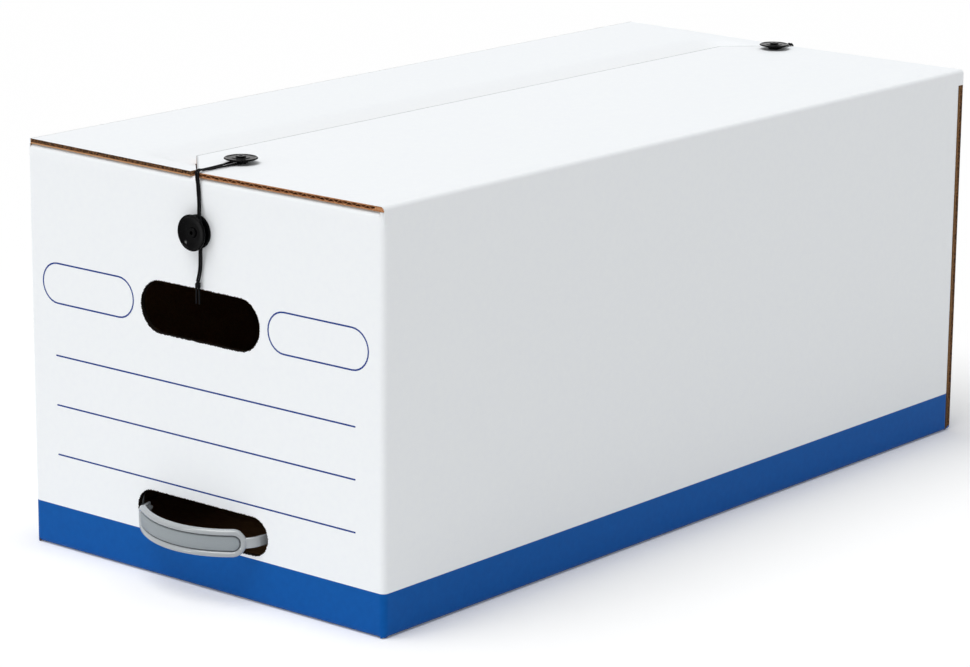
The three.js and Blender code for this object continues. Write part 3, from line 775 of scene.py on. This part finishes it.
# The carrying handle: one moulding of light grey plastic, bowed outward, with a rounded bead
# round a recessed panel, two arms through the slot in the front wall and feet that hook inside.
grip = {
    "reach": 0.027, "bow_radius": 0.075, "bow_angle": math.radians(40), "turn_radius": 0.012,
    "turn_angle": math.radians(35), "height": 0.018, "thick": 0.0032, "bead": 0.0037,
    "recess": 0.0008, "groove": 0.0016, "groove_width": 0.0006, "groove_lip": 0.0002,
    "arm_height": 0.007, "arm_thick": 0.0022, "droop": math.radians(5), "peg_radius": 0.0014,
    "foot_reach": 0.010, "foot_height": 0.009, "foot_thick": 0.0024, "foot_gap": 0.001,
}
slot_half = 0.0575
peg_depth = board + clearance + grip["peg_radius"]
peg_z = 0.043


def grey_plastic():
    finish = Finish("grey_plastic", paint(162, 167, 170), 0.14, 1.0)
    cloud = finish.noise(90, 2)
    finish.colour(finish.mix(finish.ramp(cloud, 0.35, 0.7), paint(161, 166, 169), paint(163, 168, 171)))
    finish.roughness(finish.ramp(cloud, 0.3, 0.75, 0.12, 0.16))
    return finish.material


def matte_panel():
    """The recessed panel, moulded with a fine grain that takes the gloss off."""
    finish = Finish("matte_panel", paint(148, 155, 159), 0.5, 0.3)
    grain = finish.noise(2200, 2)
    finish.colour(finish.mix(finish.ramp(grain, 0.35, 0.7), paint(146, 153, 157), paint(150, 157, 161)))
    finish.bump(grain, 0.00002, 0.3)
    return finish.material


def groove_painted_shade():
    """Painted shade: the same plastic made darker in the bottom of the groove, where shade falls."""
    finish = Finish("groove_painted_shade", paint(92, 96, 99), 0.6, 0.2)
    speckle = finish.noise(900, 3)
    finish.colour(finish.mix(finish.ramp(speckle, 0.35, 0.7), paint(84, 88, 91), paint(104, 107, 110)))
    return finish.material


bow = grip["bow_radius"] - grip["thick"]
full_turn = grip["bow_angle"] + grip["turn_angle"]
bow_length = bow * grip["bow_angle"]
turn_length = grip["turn_radius"] * grip["turn_angle"]
crown = grip["reach"] - grip["thick"]
bow_end = (bow * math.sin(grip["bow_angle"]), crown - bow * (1 - math.cos(grip["bow_angle"])))
turn_end = (
    bow_end[0] + grip["turn_radius"] * (math.sin(full_turn) - math.sin(grip["bow_angle"])),
    bow_end[1] - grip["turn_radius"] * (math.cos(grip["bow_angle"]) - math.cos(full_turn)),
)
arm_length = (turn_end[1] + peg_depth + grip["peg_radius"] / 2) / math.sin(full_turn)


def spine_at(distance):
    """Place across the front, reach out of the wall and turn of the strap's back face."""
    s = abs(distance)
    hand = -1 if distance < 0 else 1
    if s <= bow_length:
        turn = s / bow
        x, out = bow * math.sin(turn), crown - bow * (1 - math.cos(turn))
    elif s <= bow_length + turn_length:
        turn = grip["bow_angle"] + (s - bow_length) / grip["turn_radius"]
        x = bow_end[0] + grip["turn_radius"] * (math.sin(turn) - math.sin(grip["bow_angle"]))
        out = bow_end[1] - grip["turn_radius"] * (math.cos(grip["bow_angle"]) - math.cos(turn))
    else:
        turn = full_turn
        along = s - bow_length - turn_length
        x = turn_end[0] + along * math.cos(turn)
        out = turn_end[1] - along * math.sin(turn)
    return hand * x, out, hand * turn


def smoothstep(value, low, high):
    """Rise from 0 to 1 between the low and the high, level at both ends."""
    share = min(1, max(0, (value - low) / (high - low)))
    return share * share * (3 - 2 * share)


def front_profile():
    """The strap's front from its edge inward, as distance and height: bead, groove and panel."""
    top = grip["thick"]
    half_bead = grip["bead"] / 2
    low = top * 0.45
    crest = top - low
    last = math.pi - math.asin((crest - grip["groove"]) / crest)
    points = []
    for k in range(15):
        turn = last * k / 14
        points.append((half_bead * (1 - math.cos(turn)), low + crest * math.sin(turn)))
    panel_top = top - grip["recess"]
    groove_end = points[-1][0] + grip["groove_width"]
    points.append((groove_end, top - grip["groove"]))
    points.append((groove_end + grip["groove_lip"], panel_top - grip["groove_lip"]))
    points.append((groove_end + 0.0005, panel_top))
    points.append((grip["height"] / 2, panel_top + 0.0001))
    return points


def height_at(profile, inset):
    """Height on a profile of distances and heights, by straight stretches."""
    for (a, low), (b, high) in zip(profile, profile[1:]):
        if inset <= b:
            return low + (high - low) * max(0, inset - a) / (b - a)
    return profile[-1][1]


def strap_section(distance, profile):
    """Half outline of the strap, as height and thickness, from its back edge to the middle."""
    half = grip["height"] / 2
    arm_half = grip["arm_height"] / 2
    rounding = 0.0006
    beyond = max(0, abs(distance) - (bow_length - half))
    arm_share = smoothstep(beyond, half - grip["bead"], half - grip["bead"] + rounding)

    def height_of(inset):
        inside = math.sqrt(max(0, (half - inset) ** 2 - beyond ** 2))
        return max(inside, (arm_half - inset * arm_half / half) * arm_share)

    def front_at(v):
        inset = half - math.hypot(beyond, v)
        grip_top = height_at(profile, inset) if inset > 0 else 0
        from_edge = max(0, abs(v) - (arm_half - rounding)) / rounding
        arm_top = grip["arm_thick"] * (0.45 + 0.55 * math.sqrt(max(0, 1 - from_edge ** 2)))
        return max(grip_top, arm_top if arm_share > 0 else 0)

    points = [(height_of(0.0) - 0.0007, 0), (height_of(0.0) - 0.0002, grip["arm_thick"] * 0.15)]
    for inset, _ in profile:
        v = height_of(inset)
        points.append((v, front_at(v)))
    return points


def handle_piece():
    half = grip["height"] / 2
    full = bow_length + turn_length + arm_length
    straight = bow_length - half
    stops = [straight * k / 20 for k in range(21)]
    stops += [straight + half * k / 44 for k in range(1, 45)]
    stops += [bow_length + (full - bow_length) * k / 16 for k in range(1, 17)]
    distances = [-s for s in stops[:0:-1]] + stops
    sink = math.tan(grip["droop"])
    profile = front_profile()
    back_points = 2
    inner_points = 5
    groove_start = back_points + len(profile) - inner_points
    vertices = []
    for s in distances:
        x, out, turn = spine_at(s)
        upper = strap_section(s, profile)
        ring = upper + [(-v, w) for v, w in upper[::-1]]
        for v, w in ring:
            reach = out + w * math.cos(turn)
            vertices.append((
                x + w * math.sin(turn), -end - reach, peg_z + v - sink * (reach + peg_depth),
            ))
    count = len(vertices) // len(distances)
    faces = grid_faces(len(distances), count, close_columns=True)
    kinds = []
    for s in distances[:-1]:
        for j in range(count):
            from_edge = min(j, count - 2 - j)
            panelled = abs(s) < bow_length - grip["bead"] and from_edge >= groove_start
            # Kind 1 is the painted shade in the bottom of the groove, kind 2 the matte panel.
            kinds.append((1 if from_edge == groove_start else 2) if panelled and j < count - 1 else 0)
    faces += [tuple(range(count)), tuple(range(len(vertices) - count, len(vertices)))]
    arm_x = turn_end[0] + arm_length * math.cos(full_turn)
    foot_out = slot_half + grip["foot_reach"]
    for hand in (-1, 1):
        base = len(vertices)
        sides = 24
        for x in (arm_x - grip["foot_gap"], foot_out):
            for k in range(sides):
                turn = 2 * math.pi * k / sides
                vertices.append((
                    hand * x, -end + peg_depth + grip["peg_radius"] * math.cos(turn),
                    peg_z + grip["peg_radius"] * math.sin(turn),
                ))
        peg_faces = grid_faces(2, sides, close_columns=True)
        peg_faces += [tuple(range(sides)), tuple(range(sides, 2 * sides))]
        faces += [tuple(base + i for i in f) for f in peg_faces]
        base = len(vertices)
        foot_in = slot_half + grip["foot_gap"]
        foot_low = peg_z - grip["peg_radius"] / 3
        foot_high = peg_z + grip["foot_height"]
        outline = eased(
            [(foot_in, foot_low), (foot_out, foot_low), (foot_out, foot_high), (foot_in, foot_high)],
            0.0012,
        )
        for y in (-grip["foot_thick"] / 2, grip["foot_thick"] / 2):
            vertices += [(hand * p.x, -end + peg_depth + y, p.y) for p in outline]
        span = len(outline)
        foot_faces = grid_faces(2, span, close_columns=True)
        foot_faces += [tuple(range(span)), tuple(range(span, 2 * span))]
        faces += [tuple(base + i for i in f) for f in foot_faces]
    kinds += [0] * (len(faces) - len(kinds))
    finishes = (grey_plastic(), groove_painted_shade(), matte_panel())
    piece = add_piece("moulded_handle", vertices, faces, *finishes, kinds=kinds)
    piece.data.set_sharp_from_angle(angle=math.radians(55))
    dressed(piece, "carrying_handle", "handle")


handle_piece()

# The floor: a plain white sweep. It shows white to the camera, except right under the box, and
# keeps the box's soft shadow.
floor_size = 40
floor_level = -0.0002


def white_floor():
    edge_width = 0.01
    glow_strength = 0.06
    finish = Finish("white_floor", (0.96, 0.96, 0.96, 1), 0.9, 0.0)
    rays = finish.node("LightPath").outputs
    seen = finish.math("MAXIMUM", rays["Is Camera Ray"], rays["Is Glossy Ray"])
    seen = finish.math("MAXIMUM", seen, rays["Is Transmission Ray"])
    split = finish.node("SeparateXYZ", {0: finish.place})
    past_side = finish.ramp(finish.math("ABSOLUTE", split.outputs["X"]), side - edge_width, side)
    past_end = finish.ramp(finish.math("ABSOLUTE", split.outputs["Y"]), end - edge_width, end)
    open_floor = finish.math("MAXIMUM", past_side, past_end)
    glow = finish.math("MULTIPLY", finish.math("MULTIPLY", seen, open_floor), glow_strength)
    finish.shader.inputs["Emission Color"].default_value = (1, 1, 1, 1)
    finish.tree.links.new(glow, finish.shader.inputs["Emission Strength"])
    return finish.material


corners = ((-1, -1), (1, -1), (1, 1), (-1, 1))
floor_corners = [(x * floor_size, y * floor_size, floor_level) for x, y in corners]
floor = add_piece("floor", floor_corners, [(0, 1, 2, 3)], white_floor(), smooth=False)

# The light: an even white surround, one broad soft lamp high above the front, and a small lamp
# low at the front left that puts the bright spot on the cap of the wall button.
world = bpy.data.worlds.new("studio")
bpy.context.scene.world = world
world.use_nodes = True
surround = world.node_tree.nodes["Background"]
surround.inputs["Color"].default_value = (1, 1, 1, 1)
path = world.node_tree.nodes.new("ShaderNodeLightPath")
seen = path.outputs["Is Camera Ray"]
for ray in ("Is Glossy Ray", "Is Transmission Ray"):
    either = world.node_tree.nodes.new("ShaderNodeMath")
    either.operation = "MAXIMUM"
    world.node_tree.links.new(seen, either.inputs[0])
    world.node_tree.links.new(path.outputs[ray], either.inputs[1])
    seen = either.outputs[0]
strength = world.node_tree.nodes.new("ShaderNodeMapRange")
strength.inputs["To Min"].default_value = 0.44
strength.inputs["To Max"].default_value = 1.0
world.node_tree.links.new(seen, strength.inputs["Value"])
world.node_tree.links.new(strength.outputs[0], surround.inputs["Strength"])

for lamp_name, energy, spread, towards in (
    ("broad_lamp", 1.76, 45, (-0.10, -0.32, 0.94)),
    ("small_lamp", 0.2, 5, (-0.42, -0.90, 0.12)),
):
    lamp_data = bpy.data.lights.new(lamp_name, "SUN")
    lamp_data.energy = energy
    lamp_data.angle = math.radians(spread)
    lamp = bpy.data.objects.new(lamp_name, lamp_data)
    bpy.context.scene.collection.objects.link(lamp)
    lamp.rotation_euler = Vector(towards).to_track_quat("Z", "Y").to_euler()

# The camera stands where the photograph was taken from, at the front right, with a long lens.
azimuth = math.radians(39.784)
elevation = math.radians(14.19)
roll = math.radians(0.44)
camera_data = bpy.data.cameras.new("camera")
camera_data.sensor_width = 36
camera_data.lens = 133.4
camera = bpy.data.objects.new("camera", camera_data)
bpy.context.scene.collection.objects.link(camera)
level = math.cos(elevation)
back = Vector((math.sin(azimuth) * level, -math.cos(azimuth) * level, math.sin(elevation)))
aim = (-back).to_track_quat("-Z", "Y")
camera.rotation_mode = "QUATERNION"
camera.rotation_quaternion = aim @ Matrix.Rotation(roll, 3, "Z").to_quaternion()
camera.location = (1.5493, -1.8986, 0.7279)
bpy.context.scene.camera = camera
bpy.context.scene.view_settings.view_transform = "Standard"
